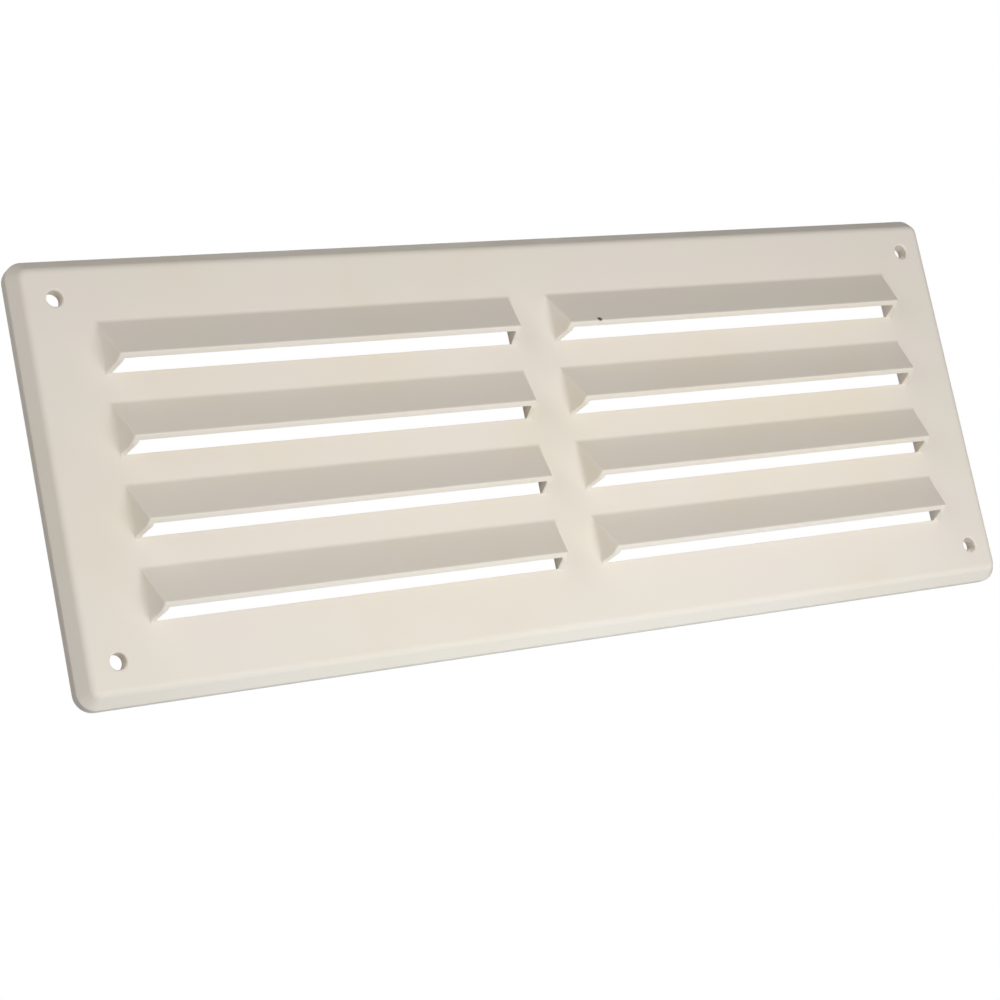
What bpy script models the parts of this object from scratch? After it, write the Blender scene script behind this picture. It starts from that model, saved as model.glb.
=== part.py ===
"""Louvre vent plate for a wall opening of the nominal 9 by 3 inch kind, moulded in one piece of plastic.

The plate is a shallow tray. Its open back stands on the wall, and a bevel runs down from its flat face to a
short side wall. Eight hoods stand out of the face, in two columns of four. Each hood is open downwards, so
that rain runs off it while air passes. Four plain holes near the corners take the fixing screws, each
through a short boss behind the face.

The frame has +Z up, +X along the plate and the face looking along -Y. The wall is the plane Y = 0. The
origin is on the back rim, in the middle of its bottom run.
"""

import math

import bmesh
import bpy
from mathutils import Matrix, Vector

MM = 0.001

# Section of the plate, from the wall outwards
WALL = 1.6 * MM
SIDE_WALL_DEPTH = 2.9 * MM
BEVEL_RUN = 2.8 * MM
BEVEL_RISE = 3.6 * MM
SIDE_FOLD_RADIUS = 0.8 * MM
FACE_FOLD_RADIUS = 1.7 * MM
FACE_CORNER_RADIUS = 1.6 * MM

# Field of louvres, and the margins from it to the plate's edges
COLUMNS = 2
ROWS = 4
MULLION = 10.8 * MM
LAND = 6.9 * MM
SIDE_MARGIN = 18.1 * MM
TOP_MARGIN = 15.8 * MM
BOTTOM_MARGIN = 17.4 * MM

# One hood, measured on the face and out from it
HOOD_LENGTH = 106.5 * MM
HOOD_DROP = 9.3 * MM
HOOD_STAND = 6.7 * MM
SILL_BELOW_LIP = 2.6 * MM
HOOD_END_INSET = 1.7 * MM
HOOD_WALL = 1.6 * MM
HOOD_EDGE_RADIUS = 0.35 * MM

# Screw holes, from the plate's edges to their centres
BORE_DIAMETER = 3.8 * MM
BORE_LENGTH = 3.6 * MM
BORE_SIDE_MARGIN = 9.5 * MM
BORE_END_MARGIN = 9.7 * MM
BOSS_WALL = 2.4 * MM

# How far a joined piece reaches into the plate, and how far a cutter reaches past it
EMBED = WALL / 2
CUT_CLEARANCE = 2.0 * MM

CORNER_STEPS = 8
FOLD_STEPS = 4
HOOD_EDGE_STEPS = 2
ROUND_SEGMENTS = 32
SMOOTH_BELOW = math.radians(25)

COLOUR = (0.80, 0.76, 0.68)
ROUGHNESS = 0.42

hood_height = HOOD_DROP + SILL_BELOW_LIP
column_pitch = HOOD_LENGTH + MULLION
row_pitch = hood_height + LAND
plate_width = COLUMNS * column_pitch - MULLION + 2 * SIDE_MARGIN
plate_height = ROWS * row_pitch - LAND + TOP_MARGIN + BOTTOM_MARGIN
corner_radius = FACE_CORNER_RADIUS + BEVEL_RUN
face_out = SIDE_WALL_DEPTH + BEVEL_RISE
slope_per_stand = HOOD_DROP / HOOD_STAND
lean_per_stand = HOOD_END_INSET / HOOD_STAND


def clear_scene():
    for leftover in list(bpy.data.objects):
        bpy.data.objects.remove(leftover, do_unlink=True)


def place(along, height, out):
    """A point this far along from the plate's middle, above its bottom edge and out from the wall."""
    return Vector((along, -out, height - WALL / 2))


def plastic(name):
    material = bpy.data.materials.new(name)
    material.use_nodes = True
    shader = material.node_tree.nodes["Principled BSDF"]
    shader.inputs["Base Color"].default_value = (*COLOUR, 1)
    shader.inputs["Roughness"].default_value = ROUGHNESS
    shader.inputs["Metallic"].default_value = 0
    return material


def solid_from(bm, name):
    """A mesh object whose faces point outwards."""
    bmesh.ops.recalc_face_normals(bm, faces=bm.faces)
    mesh = bpy.data.meshes.new(name)
    bm.to_mesh(mesh)
    bm.free()
    solid = bpy.data.objects.new(name, mesh)
    bpy.context.scene.collection.objects.link(solid)
    return solid


def rounded(before, corner, after, radius):
    """The arc that rounds a corner of the section, as points from the side of before to that of after."""
    arriving = (before - corner).normalized()
    leaving = (after - corner).normalized()
    half_angle = arriving.angle(leaving) / 2
    centre = corner + (arriving + leaving).normalized() * radius / math.sin(half_angle)
    tangent = radius / math.tan(half_angle)
    first = corner + arriving * tangent - centre
    last = corner + leaving * tangent - centre
    return [centre + radius * first.slerp(last, step / FOLD_STEPS) for step in range(FOLD_STEPS + 1)]


def behind(before, corner, after):
    """The corner of the section's inner side that lies one wall thickness behind this corner."""
    arriving = (corner - before).normalized()
    leaving = (after - corner).normalized()
    normal_before = Vector((arriving.y, -arriving.x))
    normal_after = Vector((leaving.y, -leaving.x))
    return corner + (normal_before + normal_after) * WALL / (1 + normal_before.dot(normal_after))


def tray_section():
    """The tray's section as (inset from the outline, out from the wall), from its inner face round to its face."""
    rim = Vector((0, 0))
    side_fold = Vector((0, SIDE_WALL_DEPTH))
    face_fold = Vector((BEVEL_RUN, face_out))
    on_face = face_fold + Vector((FACE_CORNER_RADIUS, 0))
    inner = [behind(side_fold, face_fold, on_face), behind(rim, side_fold, face_fold), Vector((WALL, 0))]
    side_arc = rounded(rim, side_fold, face_fold, SIDE_FOLD_RADIUS)
    face_arc = rounded(side_fold, face_fold, on_face, FACE_FOLD_RADIUS)
    return [*inner, rim, *side_arc, *face_arc]


def outline(inset, out):
    """The plate's rounded outline, moved in by inset, at this distance out from the wall."""
    radius = corner_radius - inset
    half_width = plate_width / 2 - corner_radius
    half_height = plate_height / 2 - corner_radius
    points = []
    for quarter, (side, level) in enumerate(((1, 1), (-1, 1), (-1, -1), (1, -1))):
        for step in range(CORNER_STEPS + 1):
            angle = math.radians(90 * (quarter + step / CORNER_STEPS))
            along = side * half_width + radius * math.cos(angle)
            height = plate_height / 2 + level * half_height + radius * math.sin(angle)
            points.append(place(along, height, out))
    return points


def make_tray():
    """The tray without its louvres and holes: one closed skin lofted round its section."""
    bm = bmesh.new()
    rings = [[bm.verts.new(point) for point in outline(inset, out)] for inset, out in tray_section()]
    for ring, following in zip(rings, rings[1:]):
        for index in range(len(ring)):
            bm.faces.new((ring[index - 1], ring[index], following[index], following[index - 1]))
    bm.faces.new(rings[0])
    bm.faces.new(rings[-1])
    return solid_from(bm, "louvre_plate")


def hood_places():
    """The middle of each hood along the plate, and the height of the fold where it leaves the face."""
    for column in range(COLUMNS):
        along = (column - (COLUMNS - 1) / 2) * column_pitch
        for row in range(ROWS):
            yield along, plate_height - TOP_MARGIN - row * row_pitch


def add_bar(bm, middle, top, section, end_setback):
    """A bar with leaning ends, which lie end_setback inside those of the hood.

    Each corner of its section is its drop below top and its distance out from the face.
    """
    ends = []
    for side in (-1, 1):
        ends.append([
            bm.verts.new(place(
                middle + side * (HOOD_LENGTH / 2 - end_setback - stand * lean_per_stand),
                top - drop,
                face_out + stand,
            ))
            for drop, stand in section
        ])
    left, right = ends
    faces = [bm.faces.new(left), bm.faces.new(reversed(right))]
    for index in range(len(section)):
        faces.append(bm.faces.new((left[index - 1], left[index], right[index], right[index - 1])))
    bmesh.ops.recalc_face_normals(bm, faces=faces)
    return left, right


def make_hoods():
    """The solid hoods before their throats are cut. The lip ends square to the slope, with its edges rounded."""
    slope_length = math.hypot(HOOD_DROP, HOOD_STAND)
    lip_reach = (HOOD_WALL + EMBED) / slope_length
    mouth_drop = HOOD_DROP + lip_reach * HOOD_STAND
    mouth_stand = HOOD_STAND - lip_reach * HOOD_DROP
    section = [
        (-EMBED * slope_per_stand, -EMBED),
        (HOOD_DROP, HOOD_STAND),
        (mouth_drop, mouth_stand),
        (hood_height + EMBED * (hood_height - mouth_drop) / mouth_stand, -EMBED),
    ]
    bm = bmesh.new()
    lip_edges = set()
    for middle, top in hood_places():
        for end in add_bar(bm, middle, top, section, 0):
            lip_edges.update(end[1].link_edges)
    bmesh.ops.bevel(
        bm, geom=list(lip_edges), offset=HOOD_EDGE_RADIUS, segments=HOOD_EDGE_STEPS, affect="EDGES", profile=0.5
    )
    return solid_from(bm, "hoods")


def make_throats():
    """What is cut out of the hoods and the face: each throat lies one hood wall inside its hood."""
    slope_setback = HOOD_WALL * math.hypot(1, slope_per_stand)
    end_setback = HOOD_WALL * math.hypot(1, lean_per_stand)
    back = -WALL - CUT_CLEARANCE
    section = [
        (slope_setback + back * slope_per_stand, back),
        (hood_height, (hood_height - slope_setback) / slope_per_stand),
        (hood_height, back),
    ]
    bm = bmesh.new()
    for middle, top in hood_places():
        add_bar(bm, middle, top, section, end_setback)
    return solid_from(bm, "throats")


def make_round_bars(name, diameter, inner_end, outer_end):
    """A bar on the axis of each screw hole, between two distances out from the wall."""
    bm = bmesh.new()
    for side in (-1, 1):
        for height in (BORE_END_MARGIN, plate_height - BORE_END_MARGIN):
            along = side * (plate_width / 2 - BORE_SIDE_MARGIN)
            middle = place(along, height, (inner_end + outer_end) / 2)
            bmesh.ops.create_cone(
                bm,
                cap_ends=True,
                segments=ROUND_SEGMENTS,
                radius1=diameter / 2,
                radius2=diameter / 2,
                depth=outer_end - inner_end,
                matrix=Matrix.Translation(middle) @ Matrix.Rotation(math.radians(90), 4, "X"),
            )
    return solid_from(bm, name)


def combine(plate, guide, operation):
    """Joins a guide to the plate or cuts it out, and then clears the guide away."""
    step = plate.modifiers.new(guide.name, "BOOLEAN")
    step.operation = operation
    step.solver = "EXACT"
    step.object = guide
    graph = bpy.context.evaluated_depsgraph_get()
    result = bpy.data.meshes.new_from_object(plate.evaluated_get(graph))
    plate.modifiers.clear()
    plate.data = result
    bpy.data.objects.remove(guide, do_unlink=True)


def make_plate():
    plate = make_tray()
    plate.data.materials.append(plastic("off_white_plastic"))
    boss_diameter = BORE_DIAMETER + 2 * BOSS_WALL
    bosses = make_round_bars("bosses", boss_diameter, face_out - BORE_LENGTH, face_out - EMBED)
    bores = make_round_bars("bores", BORE_DIAMETER, -CUT_CLEARANCE, face_out + CUT_CLEARANCE)
    combine(plate, make_hoods(), "UNION")
    combine(plate, bosses, "UNION")
    combine(plate, make_throats(), "DIFFERENCE")
    combine(plate, bores, "DIFFERENCE")
    plate.data.name = plate.name
    plate.data.shade_smooth()
    plate.data.set_sharp_from_angle(angle=SMOOTH_BELOW)
    return plate


clear_scene()
make_plate()
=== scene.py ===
"""Looks of a louvre vent plate moulded in one piece of off-white plastic.

The plate is made anew from the same sizes as its CAD solid, with the soft roundings that a moulding has. One
hood is made by a rule, and a node tree repeats it over the field of louvres and joins it to the tray.
"""

import math
from collections import namedtuple

import bmesh
import bpy
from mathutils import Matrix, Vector
from mathutils.geometry import delaunay_2d_cdt


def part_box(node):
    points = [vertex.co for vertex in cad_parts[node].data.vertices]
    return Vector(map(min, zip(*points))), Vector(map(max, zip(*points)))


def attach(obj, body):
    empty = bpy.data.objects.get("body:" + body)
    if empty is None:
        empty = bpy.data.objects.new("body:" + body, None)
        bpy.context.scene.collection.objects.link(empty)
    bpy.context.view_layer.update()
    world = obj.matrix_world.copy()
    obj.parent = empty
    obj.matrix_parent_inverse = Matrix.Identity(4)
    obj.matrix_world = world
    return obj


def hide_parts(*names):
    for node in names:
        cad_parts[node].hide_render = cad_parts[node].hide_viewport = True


bl_info = {
    "name": "Louvre vent plate",
    "version": (1, 0, 0),
    "blender": (4, 5, 0),
    "location": "View3D > Sidebar > Louvre vent",
    "description": "Makes a one-piece plastic louvre vent plate and a plain studio around it",
    "category": "Object",
}

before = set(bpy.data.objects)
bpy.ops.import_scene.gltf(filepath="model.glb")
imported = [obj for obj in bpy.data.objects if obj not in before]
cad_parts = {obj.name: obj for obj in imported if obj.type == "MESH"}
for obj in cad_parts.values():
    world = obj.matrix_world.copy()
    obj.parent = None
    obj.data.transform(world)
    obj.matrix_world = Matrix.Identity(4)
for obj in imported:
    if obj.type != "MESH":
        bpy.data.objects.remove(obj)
cad_low, cad_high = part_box("louvre_plate")

MM = 0.001
CAD_NODE = "louvre_plate"
HOOD = "hood"
TRAY = "tray"
PLATE = "louvre_plate_moulding"


# Kinds of property


def length(name, description, default):
    return bpy.props.FloatProperty(
        name=name,
        description=description,
        default=default,
        min=0,
        precision=5,
        subtype="DISTANCE",
        unit="LENGTH",
    )


def count(name, description, default):
    return bpy.props.IntProperty(name=name, description=description, default=default, min=1)


def share(name, description, default):
    return bpy.props.FloatProperty(
        name=name, description=description, default=default, min=0, max=1, precision=3, subtype="FACTOR"
    )


def colour(name, description, default):
    return bpy.props.FloatVectorProperty(
        name=name, description=description, default=default, size=3, min=0, max=1, subtype="COLOR"
    )


def power(name, description, default):
    return bpy.props.FloatProperty(
        name=name, description=description, default=default, min=0, subtype="POWER", unit="POWER"
    )


class TraySizes(bpy.types.PropertyGroup):
    width: length("Width", "The plate from side to side", cad_high.x - cad_low.x)
    height: length("Height", "The plate from bottom to top", cad_high.z - cad_low.z)
    wall: length("Wall", "Thickness of the plate", 1.6 * MM)
    side_wall_depth: length("Side wall depth", "How far the short side wall stands out", 2.9 * MM)
    bevel_run: length("Bevel run", "How far the bevel leans in from the outline", 2.8 * MM)
    bevel_rise: length("Bevel rise", "How far the bevel stands out over the side wall", 3.6 * MM)
    outline_radius: length("Outline radius", "Radius of the plate's corners at the side wall", 4.4 * MM)
    rim_radius: length("Rim radius", "Rounding of the back rim", 0.25 * MM)
    side_fold_radius: length("Side fold radius", "Rounding between side wall and bevel", 0.8 * MM)
    face_fold_radius: length("Face fold radius", "Rounding between bevel and face", 2.1 * MM)


class HoodSizes(bpy.types.PropertyGroup):
    columns: count("Columns", "Hoods side by side", 2)
    rows: count("Rows", "Hoods one above the other", 4)
    length: length("Length", "Length of a hood along its fold", 106.5 * MM)
    drop: length("Drop", "From the fold down to the lip", 9.3 * MM)
    stand: length("Stand", "How far the lip stands out from the face", 6.7 * MM)
    sill: length("Sill", "From the lip down to the sill of the opening", 2.6 * MM)
    end_inset: length("End inset", "How far the cheeks lean in between face and lip", 1.7 * MM)
    wall: length("Wall", "Thickness of the hood", 1.6 * MM)
    mullion: length("Mullion", "Width of face between the columns", 10.8 * MM)
    land: length("Land", "Height of face between a sill and the next fold", 6.9 * MM)
    top_margin: length("Top margin", "From the top edge down to the first fold", 15.8 * MM)
    fold_height: length("Fold height", "Height over the face at which the fold's rounding ends", 0.3 * MM)
    foot_radius: length("Foot radius", "Rounding where a cheek stands on the face", 1.1 * MM)
    ridge_cut: length("Ridge cut", "How far the rounding of a hood's ridges reaches", 0.5 * MM)
    lip_radius: length("Lip radius", "Rounding of the mouth's outer edges", 0.42 * MM)
    edge_radius: length("Edge radius", "Rounding of the mouth's inner edges and the back edge", 0.3 * MM)
    sill_radius: length("Sill radius", "Rounding of the sill, below the mouth", 0.15 * MM)


class HoleSizes(bpy.types.PropertyGroup):
    diameter: length("Diameter", "Diameter of a screw hole", 3.8 * MM)
    length: length("Length", "Length of a screw hole through its boss", 3.6 * MM)
    side_margin: length("Side margin", "From the plate's side to the middle of a hole", 9.5 * MM)
    end_margin: length("End margin", "From the plate's top or bottom to the middle of a hole", 9.7 * MM)
    boss_wall: length("Boss wall", "Thickness of the boss round a hole", 2.4 * MM)
    rim_radius: length("Rim radius", "Rounding of a hole's rim on the face", 0.4 * MM)


class PlasticLook(bpy.types.PropertyGroup):
    colour: colour("Colour", "Colour of the off-white plastic", (0.798, 0.738, 0.652))
    warm_colour: colour("Warm patches", "Where the plastic is a little yellower", (0.792, 0.728, 0.628))
    cool_colour: colour("Cool patches", "Where the plastic is a little pinker", (0.803, 0.741, 0.670))
    roughness: share("Roughness", "Middle roughness of the surface", 0.58)
    roughness_range: share("Roughness range", "How far the roughness varies", 0.10)
    grain: length("Grain", "Height of the fine moulded grain", 0.010 * MM)
    ripple: length("Ripple", "Height of the slow waviness of the moulded faces", 0.05 * MM)
    shine: share("Shine", "Strength of the surface's reflections", 0.2)
    speck_colour: colour("Speck colour", "Colour of the dark speck in one hood's lip", (0.10, 0.085, 0.06))
    speck_radius: length("Speck radius", "Radius of the dark speck", 0.62 * MM)


class StudioLook(bpy.types.PropertyGroup):
    ambient: share("Ambient", "Strength of the light from all round", 0.055)
    ambient_colour: colour("Ambient colour", "Colour of the light from all round", (1.0, 0.95, 0.84))
    front_power: power("Front power", "Power of the large soft lamp in front of the plate", 2.42)
    left_power: power("Left power", "Power of the soft lamp at the left", 1.62)
    low_power: power("Low power", "Power of the soft lamp below", 0.20)
    back_power: power("Back power", "Power of the lamp behind", 2.8)
    low_colour: colour("Low colour", "Colour of the lamp below", (0.78, 0.91, 1.0))
    floor_drop: length("Floor drop", "From the plate down to the floor", 0.9)
    floor_white: share("Floor white", "How far the floor shows as the white background", 0.78)


class LouvreVent(bpy.types.PropertyGroup):
    tray: bpy.props.PointerProperty(type=TraySizes, name="Tray", description="Sizes of the tray")
    hood: bpy.props.PointerProperty(type=HoodSizes, name="Hoods", description="Sizes of the hoods")
    hole: bpy.props.PointerProperty(type=HoleSizes, name="Holes", description="Sizes of the screw holes")
    plastic: bpy.props.PointerProperty(type=PlasticLook, name="Plastic", description="Looks of the plastic")
    studio: bpy.props.PointerProperty(type=StudioLook, name="Studio", description="Lights and floor")


# Shared tools for rounded skins

# How finely roundings, the plate's corners, the long runs of a hood and the holes are divided
ARC_STEPS = 4
CORNER_STEPS = 12
RUN_STEPS = 8
HOLE_STEPS = 48

# A point this far on either side of a rounding keeps the flats beside it flat in smooth shading
HOLD = 0.2 * MM

# What delaunay_2d_cdt is told: to keep the triangles inside the rings, and when two corners count as one
INSIDE_RINGS = 1
SAME_POINT = 1e-9

# The share by which the filled area of a flat face may be off
AREA_ERROR = 1e-4


def new_object(name, mesh):
    if name in bpy.data.objects:
        bpy.data.objects.remove(bpy.data.objects[name], do_unlink=True)
    made = bpy.data.objects.new(name, mesh)
    bpy.context.scene.collection.objects.link(made)
    return made


def object_from(bm, name):
    mesh = bpy.data.meshes.new(name)
    bm.to_mesh(mesh)
    bm.free()
    return new_object(name, mesh)


def curve_through(start, corner, end):
    """Points of the soft curve that leaves start towards the corner and arrives at end from it."""
    points = []
    for step in range(ARC_STEPS + 1):
        t = step / ARC_STEPS
        points.append(start * (1 - t) ** 2 + corner * (2 * t * (1 - t)) + end * t**2)
    return points


def arc_at(before, corner, after, radius):
    """The circular arc that rounds a corner of a section, with a holding point on either side."""
    arriving = (before - corner).normalized()
    leaving = (after - corner).normalized()
    half_angle = arriving.angle(leaving) / 2
    tangent = radius / math.tan(half_angle)
    centre = corner + (arriving + leaving).normalized() * radius / math.sin(half_angle)
    first = (corner + arriving * tangent - centre).normalized()
    last = (corner + leaving * tangent - centre).normalized()
    arc = [centre + radius * first.slerp(last, step / ARC_STEPS) for step in range(ARC_STEPS + 1)]
    return [corner + arriving * (tangent + HOLD), *arc, corner + leaving * (tangent + HOLD)]


def rounded_section(corners, radii):
    """A section whose inner corners are rounded; radii has one radius for each of them."""
    points = []
    for before, corner, after, radius in zip(corners, corners[1:], corners[2:], radii):
        points += arc_at(before, corner, after, radius)
    return points


def loft(bm, loops):
    """Closes a skin over loops of points, and gives back the first and last loop's vertices."""
    rings = [[bm.verts.new(point) for point in loop] for loop in loops]
    for ring, following in zip(rings, rings[1:]):
        for index in range(len(ring)):
            bm.faces.new((ring[index - 1], ring[index], following[index], following[index - 1]))
    return rings[0], rings[-1]


def fill_flat(bm, outer, holes, area):
    """Fills the flat face between an outer ring and its rounded holes, which has to have the given area."""
    rings = [outer, *holes]
    points = [vertex for ring in rings for vertex in ring]
    owner = [index for index, ring in enumerate(rings) for vertex in ring]
    bounds = []
    for ring in rings:
        first = sum(map(len, bounds))
        bounds.append(list(range(first, first + len(ring))))
    flat_points = [Vector((vertex.co.x, vertex.co.z)) for vertex in points]
    triangles = delaunay_2d_cdt(flat_points, [], bounds, INSIDE_RINGS, SAME_POINT)[2]
    filled = 0
    for corners in triangles:
        # A triangle with all its corners on one hole lies in the hole
        if owner[corners[0]] and owner[corners[0]] == owner[corners[1]] == owner[corners[2]]:
            continue
        filled += bm.faces.new([points[corner] for corner in corners]).calc_area()
    if abs(filled - area) > AREA_ERROR * area:
        filled, area = filled / MM**2, area / MM**2
        raise RuntimeError(f"a flat face was filled over {filled:.1f} mm2 and not {area:.1f} mm2")


def ring_area(ring):
    """The area inside a flat ring that faces along Y."""
    total = 0
    for index in range(len(ring)):
        a, b = ring[index - 1].co, ring[index].co
        total += a.x * b.z - b.x * a.z
    return abs(total) / 2


# The hood

# How far the lip reaches past the slope before the mouth turns back to the face, in thicknesses of the hood
LIP_REACH = 1.5

# Width of the band of plate that is made with a hood, outside its ends
PATCH_MARGIN = 2 * MM

# Where a loop's points lie between its two corners. On the face, the cheek and the plate they are shares of
# the height, and at the mouth they are places of HoodShape.mouth, of which the first is the top corner.
SIDE_SHARES = (0.25, 0.48, 0.72, 0.93)
MOUTH_PLACES = (0, 0.7, 1, 1.5, 1.9)
THROAT_PLACES = (0, 0.9, 1, 1.5, 1.9)

# How far out from the face those points of the cheek lie, as shares of the loop's own stand
CHEEK_STANDS = (1, 1, 1, 0.15)

# The outer loops of a hood's skin, from the face to the rim of the mouth. The foot corner of a loop lies this
# far below the sill and inside the line that the loop follows. Both cuts are shares of the ridge cut.
Skirt = namedtuple("Skirt", "below inside top_cut foot_cut")
FACE = Skirt(1.4 * MM, 0.13 * MM, 1, 0.6)
FOOT_START = Skirt(1.2 * MM, 0.11 * MM, 1, 0.5)
FOOT_EDGE = Skirt(1.0 * MM, 0, 0.6, 0.4)
FOOT_END = Skirt(0.8 * MM, 0, 0.6, 0.3)
CHEEK = Skirt(0.7 * MM, 0.05 * MM, 0.7, 0.24)
MOUTH = Skirt(0.6 * MM, 0.11 * MM, 1, 0.2)
LIP_START = Skirt(0.5 * MM, 0.18 * MM, 1, 0.16)
LIP_EDGE = Skirt(0.45 * MM, 0.28 * MM, 1, 0.16)
LIP_END = Skirt(0.4 * MM, 0, 1, 0.16)

# The corners of the inner loops, from the rim of the mouth to the back of the plate, cut in the same way
Cuts = namedtuple("Cuts", "top_cut foot_cut")
THROAT_RIM = Cuts(0.6, 0.16)
THROAT = Cuts(0.6, 0.2)
PLATE_EDGE = Cuts(0.6, 0.4)
BACK_EDGE = Cuts(0.8, 0.6)
BACK = Cuts(0.9, 0.7)


class HoodShape:
    """The planes of one hood.

    Its points are (along, drop, stand): along from the hood's middle, drop below the fold and stand out from
    the face, which is negative behind the face.
    """

    def __init__(self, hood, tray):
        self.half = hood.length / 2
        self.height = hood.drop + hood.sill
        self.plate_wall = tray.wall
        self.slope = hood.drop / hood.stand
        self.lean = hood.end_inset / hood.stand
        self.slope_setback = hood.wall * math.hypot(1, self.slope)
        self.end_setback = hood.wall * math.hypot(1, self.lean)
        reach = LIP_REACH * hood.wall / math.hypot(hood.drop, hood.stand)
        self.knee = Vector((hood.drop + reach * hood.stand, hood.stand - reach * hood.drop))
        self.lip = Vector((hood.drop, hood.stand))
        self.lip_way = Vector((hood.stand, -hood.drop)).normalized()
        self.inner_lip = self.lip + self.lip_way * hood.wall
        self.foot = Vector((self.height, 0))

    def cheek(self, stand):
        return self.half - stand * self.lean

    def inner_cheek(self, stand):
        return self.cheek(stand) - self.end_setback

    def slope_drop(self, stand):
        return stand * self.slope

    def inner_slope_drop(self, stand):
        return self.slope_setback + stand * self.slope

    def mouth(self, place):
        """A point of the mouth's side edge as (drop, stand): the lip at 0, the knee at 1, the foot at 2."""
        if place <= 1:
            return self.lip.lerp(self.knee, place)
        return self.knee.lerp(self.foot, place - 1)

    def inward(self, place):
        """The direction from the mouth's side edge into the cheek, as (drop, stand)."""
        upper = Vector((self.lip_way.y, -self.lip_way.x))
        way = (self.foot - self.knee).normalized()
        lower = Vector((way.y, -way.x))
        if place < 1:
            return upper
        return lower if place > 1 else (upper + lower).normalized()


def hood_loop(side, top_cut, foot_cut):
    """A closed loop round a hood from one side of it, given from its top corner to its foot corner.

    Each corner is rounded from one cut before it to one cut after it.
    """
    side = [Vector(point) for point in side]
    inwards = Vector((-1, 0, 0))

    def rounding(before, corner, after, cut):
        first = corner + (before - corner).normalized() * cut
        last = corner + (after - corner).normalized() * cut
        return curve_through(first, corner, last)

    top = rounding(side[0] + inwards, side[0], side[1], top_cut)
    foot = rounding(side[-2], side[-1], side[-1] + inwards, foot_cut)
    right = [*top, *side[1:-1], *foot]
    left = [Vector((-point.x, point.y, point.z)) for point in reversed(right)]
    top_run = [left[-1].lerp(right[0], step / RUN_STEPS) for step in range(1, RUN_STEPS)]
    foot_run = [right[-1].lerp(left[0], step / RUN_STEPS) for step in range(1, RUN_STEPS)]
    return [*top_run, *right, *foot_run, *left]


def between(start, corner, end):
    """The loops that round an edge, from the sharp loop at the edge and a loop on either side of it."""
    stages = [curve_through(*points) for points in zip(start, corner, end)]
    return [list(loop) for loop in zip(*stages)]


def hood_loops(hood, shape):
    """The loops of one hood's skin, from the face over the hood and through its throat to the back."""
    half = shape.half
    height = shape.height
    fold = hood.fold_height
    fold_tangent = fold * math.hypot(1, shape.slope)
    foot = hood.foot_radius
    lip = hood.lip_radius
    edge = hood.edge_radius
    sill = hood.sill_radius
    back = -shape.plate_wall

    def closed(side, cuts):
        return hood_loop(side, cuts.top_cut * hood.ridge_cut, cuts.foot_cut * hood.ridge_cut)

    def closed_on_face(side, line, skirt):
        return closed([*side, (line - skirt.inside, height + skirt.below, 0)], skirt)

    def on_face(margin, over_fold, skirt):
        line = half + margin
        side = [(line, height * part, 0) for part in SIDE_SHARES]
        return closed_on_face([(line, -over_fold, 0), *side], line, skirt)

    def on_cheek(start, stand, skirt):
        side = [(shape.cheek(start), shape.slope_drop(start), start)]
        for part, stand_part in zip(SIDE_SHARES, CHEEK_STANDS):
            level = stand_part * stand
            side.append((shape.cheek(level), height * part, level))
        return closed_on_face(side, half, skirt)

    def near_mouth(setback, skirt):
        side = []
        for place in MOUTH_PLACES:
            drop, stand = shape.mouth(place) + shape.inward(place) * setback
            side.append((shape.cheek(stand), drop, stand))
        return closed_on_face(side, half, skirt)

    def on_rim(from_outer, skirt):
        side = []
        for place in MOUTH_PLACES:
            drop, stand = shape.mouth(place) if place else shape.lip + shape.lip_way * from_outer
            side.append((shape.cheek(stand) - from_outer, drop, stand))
        return closed_on_face(side, half - from_outer, skirt)

    def inner_rim(from_inner, from_sill):
        side = []
        for place in THROAT_PLACES:
            drop, stand = shape.mouth(place) if place else shape.inner_lip - shape.lip_way * from_inner
            side.append((shape.inner_cheek(stand) + from_inner, drop, stand))
        return closed([*side, (shape.inner_cheek(0) + from_inner, height + from_sill, 0)], THROAT_RIM)

    def in_throat(setback, sill_setback, cuts):
        side = []
        for place in THROAT_PLACES:
            point = shape.mouth(place) if place else shape.inner_lip
            drop, stand = point + shape.inward(place) * setback
            side.append((shape.inner_cheek(stand), drop, stand))
        return closed([*side, (shape.inner_cheek(-sill_setback), height, -sill_setback)], cuts)

    def through_plate(stand, margin, cuts):
        top = shape.inner_slope_drop(stand) - margin
        bottom = height + margin
        along = shape.inner_cheek(stand) + margin
        side = [(along, top + (bottom - top) * part, stand) for part in (0, *SIDE_SHARES, 1)]
        return closed(side, cuts)

    return [
        on_face(foot + HOLD, fold_tangent + HOLD, FACE),
        *between(
            on_face(foot, fold_tangent, FOOT_START),
            on_face(0, 0, FOOT_EDGE),
            on_cheek(fold, foot, FOOT_END),
        ),
        on_cheek(fold + HOLD, foot + HOLD, CHEEK),
        near_mouth(lip + HOLD, MOUTH),
        *between(near_mouth(lip, LIP_START), near_mouth(0, LIP_EDGE), on_rim(lip, LIP_END)),
        *between(inner_rim(edge, sill), inner_rim(0, 0), in_throat(edge, sill, THROAT_RIM)),
        in_throat(edge + HOLD, sill + HOLD, THROAT),
        through_plate(back + edge + HOLD, 0, PLATE_EDGE),
        *between(
            through_plate(back + edge, 0, PLATE_EDGE),
            through_plate(back, 0, PLATE_EDGE),
            through_plate(back, edge, BACK_EDGE),
        ),
        through_plate(back, edge + HOLD, BACK),
    ]


def patch_corners(hood, out):
    """The corners of the patch of plate that one hood takes up, at this distance out from the wall."""
    half_width = hood.length / 2 + PATCH_MARGIN
    half_height = (hood.drop + hood.sill + hood.land) / 2
    return [
        Vector((side * half_width, -out, level * half_height))
        for side, level in ((1, 1), (-1, 1), (-1, -1), (1, -1))
    ]


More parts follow.
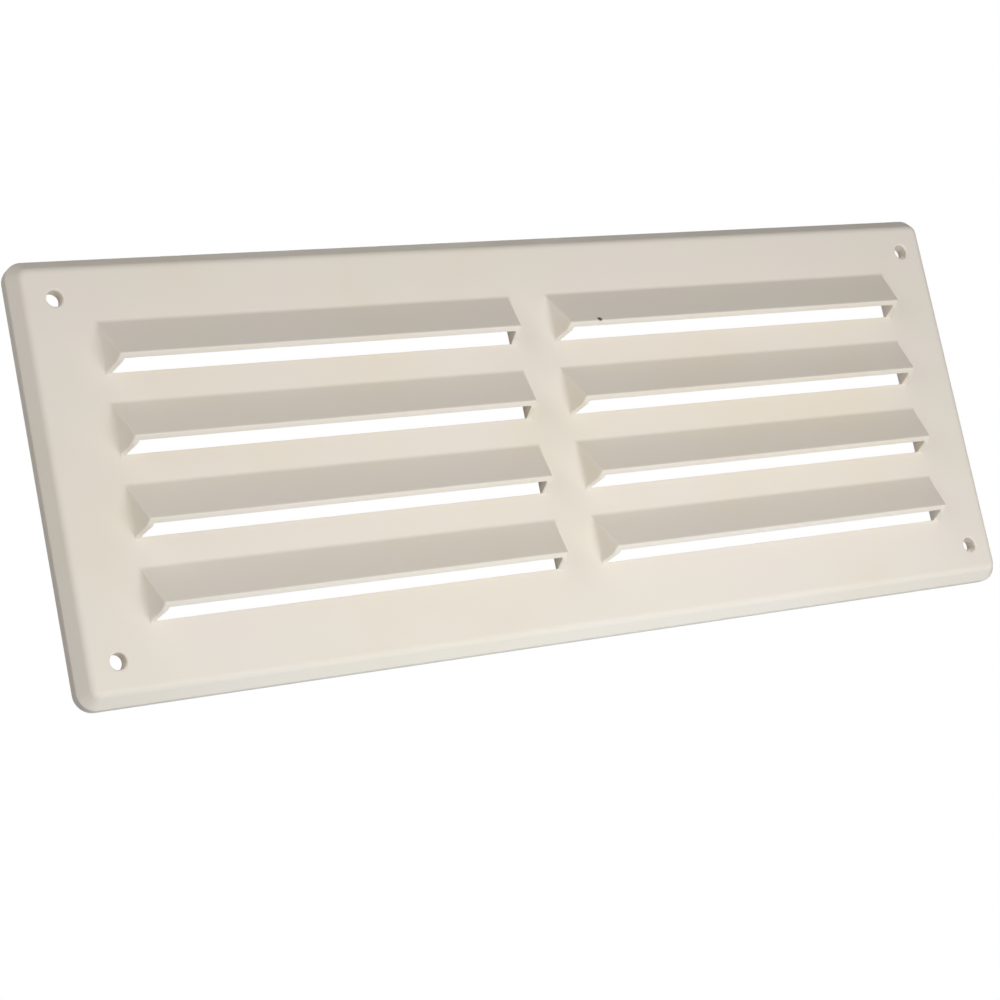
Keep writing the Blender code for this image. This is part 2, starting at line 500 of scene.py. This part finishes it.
def make_hood(settings):
    hood, tray = settings.hood, settings.tray
    shape = HoodShape(hood, tray)
    face_out = tray.side_wall_depth + tray.bevel_rise
    fold_level = shape.height / 2
    bm = bmesh.new()
    loops = [
        [Vector((point.x, -face_out - point.z, fold_level - point.y)) for point in loop]
        for loop in hood_loops(hood, shape)
    ]
    front, back = loft(bm, loops)
    for ring, out in ((front, face_out), (back, face_out - tray.wall)):
        corners = [bm.verts.new(point) for point in patch_corners(hood, out)]
        fill_flat(bm, corners, [ring], ring_area(corners) - ring_area(ring))
    object_from(bm, HOOD)


# The tray

# Roundings that the photograph doesn't show: the folds inside the tray, and the end, edge and foot of a boss
INNER_FOLD_RADIUS = 0.5 * MM
BORE_END_RADIUS = 0.2 * MM
BOSS_EDGE_RADIUS = 0.3 * MM
BOSS_FOOT_RADIUS = 0.4 * MM

# Width of the ring of plate that is made with a hole or a boss
RING_MARGIN = 2 * MM


def outline(tray, inset, out):
    """The plate's rounded outline, moved in by inset, at this distance out from the wall."""
    radius = tray.outline_radius - inset
    half_width = tray.width / 2 - tray.outline_radius
    half_height = tray.height / 2 - tray.outline_radius
    middle = cad_low.z + tray.height / 2
    points = []
    for quarter, (side, level) in enumerate(((1, 1), (-1, 1), (-1, -1), (1, -1))):
        for step in range(CORNER_STEPS + 1):
            angle = math.radians(90 * (quarter + step / CORNER_STEPS))
            along = side * half_width + radius * math.cos(angle)
            points.append(Vector((along, -out, middle + level * half_height + radius * math.sin(angle))))
    return points


def behind(before, corner, after, wall):
    """The corner of the section's inner side that lies one wall thickness behind this corner."""
    arriving = (corner - before).normalized()
    leaving = (after - corner).normalized()
    normal_before = Vector((arriving.y, -arriving.x))
    normal_after = Vector((leaving.y, -leaving.x))
    return corner + (normal_before + normal_after) * wall / (1 + normal_before.dot(normal_after))


def tray_section(tray):
    """The tray's rounded section as (inset, out), from its inner face round its rim to its face."""
    face_out = tray.side_wall_depth + tray.bevel_rise
    rim = Vector((0, 0))
    side_fold = Vector((0, tray.side_wall_depth))
    face_fold = Vector((tray.bevel_run, face_out))
    on_face = face_fold + Vector((tray.outline_radius, 0))
    inner_fold = behind(side_fold, face_fold, on_face, tray.wall)
    inner_side = behind(rim, side_fold, face_fold, tray.wall)
    corners = [
        inner_fold + Vector((tray.wall, 0)), inner_fold, inner_side, Vector((tray.wall, 0)), rim, side_fold,
        face_fold, on_face,
    ]
    radii = [
        INNER_FOLD_RADIUS, INNER_FOLD_RADIUS, tray.rim_radius, tray.rim_radius, tray.side_fold_radius,
        tray.face_fold_radius,
    ]
    return rounded_section(corners, radii)


def column_perimeters(hood, out):
    """The edge of each column of hoods, with a point at each corner of a hood's patch."""
    row_pitch = hood.drop + hood.sill + hood.land
    top = cad_high.z - hood.top_margin + hood.land / 2
    half_width = hood.length / 2 + PATCH_MARGIN
    levels = [top - row * row_pitch for row in range(hood.rows + 1)]
    perimeters = []
    for column in range(hood.columns):
        middle = (column - (hood.columns - 1) / 2) * (hood.length + hood.mullion)
        right = [Vector((middle + half_width, -out, level)) for level in levels]
        left = [Vector((middle - half_width, -out, level)) for level in reversed(levels)]
        perimeters.append(right + left)
    return perimeters


def hole_section(hole, tray):
    """Section of a hole and its boss as (distance from its axis, out), from the face to the plate's back."""
    face_out = tray.side_wall_depth + tray.bevel_rise
    back_out = face_out - tray.wall
    bore = hole.diameter / 2
    boss = bore + hole.boss_wall
    end_out = face_out - hole.length
    corners = [
        Vector((bore + RING_MARGIN, face_out)), Vector((bore, face_out)), Vector((bore, end_out)),
        Vector((boss, end_out)), Vector((boss, back_out)), Vector((boss + RING_MARGIN, back_out)),
    ]
    return rounded_section(corners, [hole.rim_radius, BORE_END_RADIUS, BOSS_EDGE_RADIUS, BOSS_FOOT_RADIUS])


def make_tray(settings):
    """The tray with its screw holes and bosses, without the field of hoods."""
    hood, tray, hole = settings.hood, settings.tray, settings.hole
    face_out = tray.side_wall_depth + tray.bevel_rise
    bm = bmesh.new()
    back, front = loft(bm, [outline(tray, inset, out) for inset, out in tray_section(tray)])
    front_holes = []
    back_holes = []
    angles = [math.tau * step / HOLE_STEPS for step in range(HOLE_STEPS)]
    for side in (-1, 1):
        for level in (cad_low.z + hole.end_margin, cad_high.z - hole.end_margin):
            along = side * (tray.width / 2 - hole.side_margin)
            loops = []
            for distance, out in hole_section(hole, tray):
                loops.append([
                    Vector((along + distance * math.cos(angle), -out, level + distance * math.sin(angle)))
                    for angle in angles
                ])
            first, last = loft(bm, loops)
            front_holes.append(first)
            back_holes.append(last)
    for ring, holes, out in ((front, front_holes, face_out), (back, back_holes, face_out - tray.wall)):
        columns = [[bm.verts.new(point) for point in edge] for edge in column_perimeters(hood, out)]
        area = ring_area(ring) - sum(ring_area(edge) for edge in (*columns, *holes))
        fill_flat(bm, ring, [*columns, *holes], area)
    object_from(bm, TRAY)


# The plate: the hoods repeated over the tray's field, as one closed moulding

# The edges of the hoods' patches meet the tray's to within this distance
WELD_DISTANCE = 0.01 * MM


def number(tree, operation, first, second):
    """A Math node that works on two sockets or plain numbers."""
    made = tree.nodes.new("ShaderNodeMath")
    made.operation = operation
    for socket, value in zip(made.inputs, (first, second)):
        if isinstance(value, bpy.types.NodeSocket):
            tree.links.new(value, socket)
        else:
            socket.default_value = value
    return made.outputs["Value"]


def hood_grid_tree():
    """A node tree that sets the hood on a grid and joins it to the tray."""
    tree = bpy.data.node_groups.new("hood_grid", "GeometryNodeTree")
    for name, kind in (
        ("Tray", "NodeSocketGeometry"),
        ("Hood", "NodeSocketObject"),
        ("Columns", "NodeSocketInt"),
        ("Rows", "NodeSocketInt"),
        ("Column pitch", "NodeSocketFloat"),
        ("Row pitch", "NodeSocketFloat"),
        ("Field height", "NodeSocketFloat"),
        ("Weld distance", "NodeSocketFloat"),
        ("Plastic", "NodeSocketMaterial"),
    ):
        tree.interface.new_socket(name=name, in_out="INPUT", socket_type=kind)
    tree.interface.new_socket(name="Plate", in_out="OUTPUT", socket_type="NodeSocketGeometry")
    nodes, links = tree.nodes, tree.links
    given = nodes.new("NodeGroupInput").outputs
    result = nodes.new("NodeGroupOutput").inputs["Plate"]

    grid = nodes.new("GeometryNodeMeshGrid")
    for times, pitch, size, vertices in (
        ("Columns", "Column pitch", "Size X", "Vertices X"),
        ("Rows", "Row pitch", "Size Y", "Vertices Y"),
    ):
        gaps = number(tree, "SUBTRACT", given[times], 1)
        links.new(number(tree, "MULTIPLY", gaps, given[pitch]), grid.inputs[size])
        links.new(given[times], grid.inputs[vertices])

    upright = nodes.new("GeometryNodeTransform")
    upright.inputs["Rotation"].default_value = (math.radians(90), 0, 0)
    shift = nodes.new("ShaderNodeCombineXYZ")
    links.new(given["Field height"], shift.inputs["Z"])
    links.new(shift.outputs["Vector"], upright.inputs["Translation"])
    links.new(grid.outputs["Mesh"], upright.inputs["Geometry"])

    hood = nodes.new("GeometryNodeObjectInfo")
    hood.inputs["As Instance"].default_value = True
    links.new(given["Hood"], hood.inputs["Object"])
    hoods = nodes.new("GeometryNodeInstanceOnPoints")
    links.new(upright.outputs["Geometry"], hoods.inputs["Points"])
    links.new(hood.outputs["Geometry"], hoods.inputs["Instance"])

    together = nodes.new("GeometryNodeJoinGeometry")
    links.new(given["Tray"], together.inputs["Geometry"])
    links.new(hoods.outputs["Instances"], together.inputs["Geometry"])
    real = nodes.new("GeometryNodeRealizeInstances")
    links.new(together.outputs["Geometry"], real.inputs["Geometry"])
    welded = nodes.new("GeometryNodeMergeByDistance")
    links.new(real.outputs["Geometry"], welded.inputs["Geometry"])
    links.new(given["Weld distance"], welded.inputs["Distance"])
    smooth = nodes.new("GeometryNodeSetShadeSmooth")
    links.new(welded.outputs["Geometry"], smooth.inputs["Geometry"])
    painted = nodes.new("GeometryNodeSetMaterial")
    links.new(smooth.outputs["Geometry"], painted.inputs["Geometry"])
    links.new(given["Plastic"], painted.inputs["Material"])
    links.new(painted.outputs["Geometry"], result)
    return tree


def close_moulding(mesh):
    """Turns the faces outwards, and raises an error if the skin isn't closed."""
    bm = bmesh.new()
    bm.from_mesh(mesh)
    open_edges = sum(not edge.is_manifold for edge in bm.edges)
    if open_edges:
        raise RuntimeError(f"the moulding has {open_edges} open edges")
    bmesh.ops.recalc_face_normals(bm, faces=bm.faces)
    if bm.calc_volume(signed=True) < 0:
        bmesh.ops.reverse_faces(bm, faces=bm.faces)
    bm.to_mesh(mesh)
    bm.free()


def make_plate(settings):
    hood, tray = settings.hood, settings.tray
    row_pitch = hood.drop + hood.sill + hood.land
    field_height = cad_high.z - hood.top_margin + hood.land / 2 - hood.rows * row_pitch / 2
    plate = new_object(PLATE, bpy.data.objects[TRAY].data.copy())
    tree = hood_grid_tree()
    values = {
        "Hood": bpy.data.objects[HOOD],
        "Columns": hood.columns,
        "Rows": hood.rows,
        "Column pitch": hood.length + hood.mullion,
        "Row pitch": row_pitch,
        "Field height": field_height,
        "Weld distance": WELD_DISTANCE,
        "Plastic": off_white_plastic(settings.plastic),
    }
    modifier = plate.modifiers.new("hood_grid", "NODES")
    modifier.node_group = tree
    for socket in tree.interface.items_tree:
        if socket.name in values:
            modifier[socket.identifier] = values[socket.name]
    graph = bpy.context.evaluated_depsgraph_get()
    mesh = bpy.data.meshes.new_from_object(plate.evaluated_get(graph))
    plate.modifiers.clear()
    close_moulding(mesh)
    mesh.name = PLATE
    plate.data = mesh
    for helper in (HOOD, TRAY):
        bpy.data.objects.remove(bpy.data.objects[helper], do_unlink=True)
    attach(plate, "root")
    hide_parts(CAD_NODE)


# The plastic

# The noises that vary it. A scale is in features per metre.
Noise = namedtuple("Noise", "scale detail")
PATCHES = Noise(28, 2)
RIPPLE = Noise(45, 1)
ROUGHNESS = Noise(160, 4)
GRAIN = Noise(2200, 2)

# The values of the noises at which the colour and the roughness reach the two ends of their range
PATCH_SPAN = (0.36, 0.64)
ROUGHNESS_SPAN = (0.3, 0.7)

# The dark speck in the lip of the top right hood, and the shares of its radius between which it fades
SPECK_PLACE = (15.65 * MM, -12.80 * MM, 76.15 * MM)
SPECK_FADE = (0.7, 1.3)


def off_white_plastic(look):
    """Moulded off-white plastic: faint warm and cool patches, a fine grain and a slow waviness."""
    material = bpy.data.materials.new("off_white_plastic")
    material.use_nodes = True
    tree = material.node_tree
    nodes, links = tree.nodes, tree.links
    shader = nodes["Principled BSDF"]
    place = nodes.new("ShaderNodeTexCoord").outputs["Object"]

    def noise(kind):
        made = nodes.new("ShaderNodeTexNoise")
        made.inputs["Scale"].default_value = kind.scale
        made.inputs["Detail"].default_value = kind.detail
        links.new(place, made.inputs["Vector"])
        return made.outputs["Fac"]

    def spread(value, span, to_low, to_high):
        made = nodes.new("ShaderNodeMapRange")
        links.new(value, made.inputs["Value"])
        made.inputs["From Min"].default_value, made.inputs["From Max"].default_value = span
        made.inputs["To Min"].default_value = to_low
        made.inputs["To Max"].default_value = to_high
        return made.outputs["Result"]

    def bump(height, distance):
        made = nodes.new("ShaderNodeBump")
        made.inputs["Distance"].default_value = distance
        links.new(height, made.inputs["Height"])
        return made

    patches = nodes.new("ShaderNodeValToRGB")
    warm, cool = patches.color_ramp.elements
    warm.position, cool.position = PATCH_SPAN
    warm.color = (*look.warm_colour, 1)
    cool.color = (*look.cool_colour, 1)
    patches.color_ramp.elements.new(sum(PATCH_SPAN) / 2).color = (*look.colour, 1)
    links.new(noise(PATCHES), patches.inputs["Fac"])

    speck_distance = nodes.new("ShaderNodeVectorMath")
    speck_distance.operation = "DISTANCE"
    speck_distance.inputs[1].default_value = SPECK_PLACE
    links.new(place, speck_distance.inputs[0])
    speck = nodes.new("ShaderNodeMix")
    speck.data_type = "RGBA"
    fade = [part * look.speck_radius for part in SPECK_FADE]
    links.new(spread(speck_distance.outputs["Value"], fade, 1, 0), speck.inputs["Factor"])
    links.new(patches.outputs["Color"], speck.inputs["A"])
    speck.inputs["B"].default_value = (*look.speck_colour, 1)
    links.new(speck.outputs["Result"], shader.inputs["Base Color"])
    shader.inputs["Specular IOR Level"].default_value = look.shine

    smoothest = look.roughness - look.roughness_range / 2
    roughest = look.roughness + look.roughness_range / 2
    links.new(spread(noise(ROUGHNESS), ROUGHNESS_SPAN, smoothest, roughest), shader.inputs["Roughness"])

    ripple = bump(noise(RIPPLE), look.ripple)
    grain = bump(noise(GRAIN), look.grain)
    links.new(ripple.outputs["Normal"], grain.inputs["Normal"])
    links.new(grain.outputs["Normal"], shader.inputs["Normal"])
    return material


# The stage

WHITE = (1, 1, 1)

# The lamps round the plate's middle, in degrees and metres. An azimuth is 0 in front and grows to the right.
Lamp = namedtuple("Lamp", "name azimuth elevation distance size")
FRONT_LAMP = Lamp("front", 5, -18, 0.5, 0.5)
LEFT_LAMP = Lamp("left", -70, 18, 0.7, 0.6)
LOW_LAMP = Lamp("low", 0, -81, 0.2, 0.3)
BACK_LAMP = Lamp("back", 155, 30, 0.6, 0.3)

FLOOR_RADIUS = 0.9
FLOOR_STEPS = 96
FLOOR_COLOUR = (0.9, 0.9, 0.89)
FLOOR_ROUGHNESS = 0.8

# The camera that shows the plate's edges, folds and holes where the photograph does, its lens in millimetres
SENSOR_WIDTH = 36
FOCAL_LENGTH = 84.818
CAMERA_PLACE = (-0.299824, -0.486850, -0.052911)
CAMERA_TURN = (0.606898, 0.749989, -0.124198, -0.231876)


def add_lamp(place, middle, watts, tint):
    """A square lamp that faces the plate's middle."""
    turn, rise = math.radians(place.azimuth), math.radians(place.elevation)
    away = Vector((math.sin(turn) * math.cos(rise), -math.cos(turn) * math.cos(rise), math.sin(rise)))
    light = bpy.data.lights.new(place.name, "AREA")
    light.shape = "SQUARE"
    light.size = place.size
    light.energy = watts
    light.color = tint
    lamp = bpy.data.objects.new(place.name, light)
    bpy.context.scene.collection.objects.link(lamp)
    lamp.location = middle + away * place.distance
    lamp.rotation_mode = "QUATERNION"
    lamp.rotation_quaternion = away.to_track_quat("Z", "Y")


def make_floor(studio):
    """A round pale floor that keeps its shadows and otherwise shows as the white background."""
    bm = bmesh.new()
    bmesh.ops.create_circle(bm, cap_ends=True, segments=FLOOR_STEPS, radius=FLOOR_RADIUS)
    bmesh.ops.translate(bm, verts=bm.verts, vec=Vector((0, 0, cad_low.z - studio.floor_drop)))
    floor = object_from(bm, "floor")
    paint = bpy.data.materials.new("floor_paint")
    paint.use_nodes = True
    tree = paint.node_tree
    shader = tree.nodes["Principled BSDF"]
    shader.inputs["Base Color"].default_value = (*FLOOR_COLOUR, 1)
    shader.inputs["Roughness"].default_value = FLOOR_ROUGHNESS
    shader.inputs["Emission Color"].default_value = (*WHITE, 1)
    camera_ray = tree.nodes.new("ShaderNodeLightPath").outputs["Is Camera Ray"]
    glow = number(tree, "MULTIPLY", camera_ray, studio.floor_white)
    tree.links.new(glow, shader.inputs["Emission Strength"])
    floor.data.materials.append(paint)


def make_world(studio):
    """A faint light from all round, which the camera, reflections and glass see as white."""
    world = bpy.data.worlds.new("studio")
    bpy.context.scene.world = world
    world.use_nodes = True
    tree = world.node_tree
    nodes, links = tree.nodes, tree.links
    rays = nodes.new("ShaderNodeLightPath").outputs
    seen = number(tree, "MAXIMUM", rays["Is Camera Ray"], rays["Is Glossy Ray"])
    seen = number(tree, "MAXIMUM", seen, rays["Is Transmission Ray"])
    ambient = nodes["Background"]
    ambient.inputs["Color"].default_value = (*studio.ambient_colour, 1)
    ambient.inputs["Strength"].default_value = studio.ambient
    white = nodes.new("ShaderNodeBackground")
    white.inputs["Color"].default_value = (*WHITE, 1)
    white.inputs["Strength"].default_value = 1
    chosen = nodes.new("ShaderNodeMixShader")
    links.new(seen, chosen.inputs["Fac"])
    links.new(ambient.outputs["Background"], chosen.inputs[1])
    links.new(white.outputs["Background"], chosen.inputs[2])
    links.new(chosen.outputs["Shader"], nodes["World Output"].inputs["Surface"])


def make_camera():
    lens = bpy.data.cameras.new("camera")
    lens.sensor_width = SENSOR_WIDTH
    lens.lens = FOCAL_LENGTH
    camera = bpy.data.objects.new("camera", lens)
    bpy.context.scene.collection.objects.link(camera)
    camera.location = CAMERA_PLACE
    camera.rotation_mode = "QUATERNION"
    camera.rotation_quaternion = CAMERA_TURN
    bpy.context.scene.camera = camera


def make_studio(settings):
    studio = settings.studio
    bpy.context.scene.view_settings.view_transform = "Standard"
    make_floor(studio)
    middle = Vector((0, 0, (cad_low.z + cad_high.z) / 2))
    add_lamp(FRONT_LAMP, middle, studio.front_power, WHITE)
    add_lamp(LEFT_LAMP, middle, studio.left_power, WHITE)
    add_lamp(LOW_LAMP, middle, studio.low_power, studio.low_colour)
    add_lamp(BACK_LAMP, middle, studio.back_power, WHITE)
    make_world(studio)
    make_camera()


# Operators, panel and registration


class LOUVRE_VENT_OT_hood(bpy.types.Operator):
    """Makes one hood with its patch of the plate"""

    bl_idname = "louvre_vent.hood"
    bl_label = "Hood"

    def execute(self, context):
        make_hood(context.scene.louvre_vent)
        return {"FINISHED"}


class LOUVRE_VENT_OT_tray(bpy.types.Operator):
    """Makes the tray round the field of hoods, with its screw holes"""

    bl_idname = "louvre_vent.tray"
    bl_label = "Tray"

    def execute(self, context):
        make_tray(context.scene.louvre_vent)
        return {"FINISHED"}


class LOUVRE_VENT_OT_plate(bpy.types.Operator):
    """Repeats the hood over the tray and joins them into one moulding"""

    bl_idname = "louvre_vent.plate"
    bl_label = "Plate"

    def execute(self, context):
        make_plate(context.scene.louvre_vent)
        return {"FINISHED"}


class LOUVRE_VENT_OT_studio(bpy.types.Operator):
    """Makes the floor, the lights and the camera"""

    bl_idname = "louvre_vent.studio"
    bl_label = "Studio"

    def execute(self, context):
        make_studio(context.scene.louvre_vent)
        return {"FINISHED"}


class LOUVRE_VENT_PT_panel(bpy.types.Panel):
    """Lists the steps that make the louvre vent plate"""

    bl_idname = "LOUVRE_VENT_PT_panel"
    bl_label = "Louvre vent"
    bl_space_type = "VIEW_3D"
    bl_region_type = "UI"
    bl_category = "Louvre vent"

    def draw(self, context):
        for operator in OPERATORS:
            self.layout.operator(operator.bl_idname)


GROUPS = (TraySizes, HoodSizes, HoleSizes, PlasticLook, StudioLook, LouvreVent)
OPERATORS = (LOUVRE_VENT_OT_hood, LOUVRE_VENT_OT_tray, LOUVRE_VENT_OT_plate, LOUVRE_VENT_OT_studio)


def register():
    for made in (*GROUPS, *OPERATORS, LOUVRE_VENT_PT_panel):
        bpy.utils.register_class(made)
    bpy.types.Scene.louvre_vent = bpy.props.PointerProperty(type=LouvreVent)


def unregister():
    del bpy.types.Scene.louvre_vent
    for made in reversed((*GROUPS, *OPERATORS, LOUVRE_VENT_PT_panel)):
        bpy.utils.unregister_class(made)


def main():
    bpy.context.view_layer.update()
    register()
    bpy.ops.louvre_vent.hood()
    bpy.ops.louvre_vent.tray()
    bpy.ops.louvre_vent.plate()
    bpy.ops.louvre_vent.studio()


if __name__ == "__main__":
    main()
